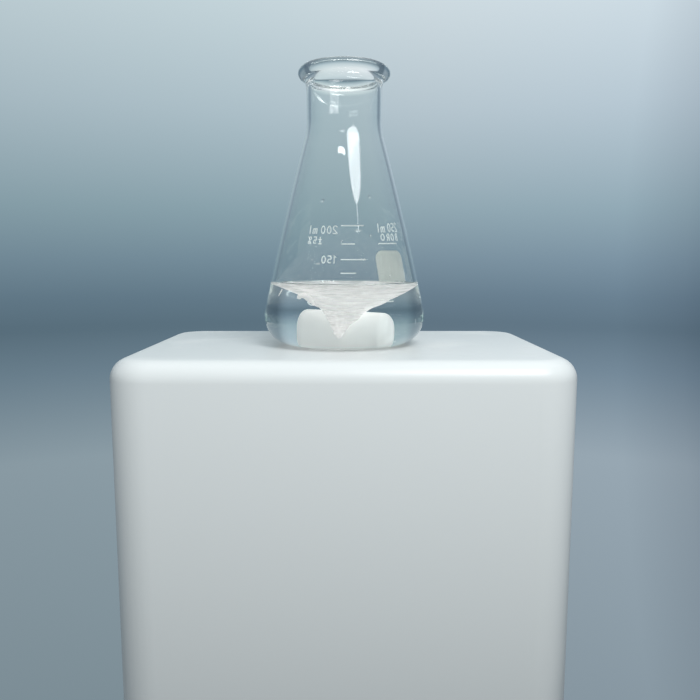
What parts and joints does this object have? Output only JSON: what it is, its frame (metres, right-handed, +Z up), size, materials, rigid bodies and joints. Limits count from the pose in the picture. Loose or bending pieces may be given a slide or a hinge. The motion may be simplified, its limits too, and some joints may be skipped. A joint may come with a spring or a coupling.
{
  "type": "conical flask",
  "caption": "Conical glass lab flask with a heavy beaded rim and white printed graduations, part filled with water that swirls into a funnel over a loose magnetic stir bar.",
  "frame": {"origin": "centre of the foot, on the surface that the flask stands on", "axes": "+Z up through the mouth, +Y towards the printed side"},
  "size_m": [0.079, 0.0791, 0.133],
  "materials": {
    "glass": "gloss",
    "water": "gloss",
    "enamel": "satin",
    "pencil_patch": "matte",
    "ptfe": "satin",
    "magnet": "satin"
  },
  "bodies": {
    "flask": {"flask": "glass", "capacity_0": "enamel", "capacity_2": "enamel", "capacity_5": "enamel", "capacity_l": "enamel", "capacity_m": "enamel", "glass_type_B": "enamel", "glass_type_O": "enamel", "glass_type_O_2": "enamel", "glass_type_R": "enamel", "label_underline": "enamel", "line_100_ml": "enamel", "line_125_ml": "enamel", "line_150_ml": "enamel", "line_175_ml": "enamel", "line_200_ml": "enamel", "line_50_ml": "enamel", "line_75_ml": "enamel", "mark_100_0": "enamel", "mark_100_0_2": "enamel", "mark_100_1": "enamel", "mark_150_0": "enamel", "mark_150_1": "enamel", "mark_150_5": "enamel", "mark_200_0": "enamel", "mark_200_0_2": "enamel", "mark_200_2": "enamel", "mark_200_l": "enamel", "mark_200_m": "enamel", "mark_50_0": "enamel", "mark_50_5": "enamel", "marking_spot": "pencil_patch", "tolerance_5": "enamel", "tolerance_percent": "enamel", "tolerance_plus_minus": "enamel"},
    "stirring": {"water": "water", "stir_bar_jacket": "ptfe", "stir_bar_magnet": "magnet", "stir_bar_plug": "ptfe"}
  },
  "joints": [
    {"name": "stir_bar_spin", "type": "hinge", "parent": "flask", "child": "stirring", "pos_m": [0, 0, 0.0091], "axis": [0, 0, 1], "continuous": true}
  ]
}
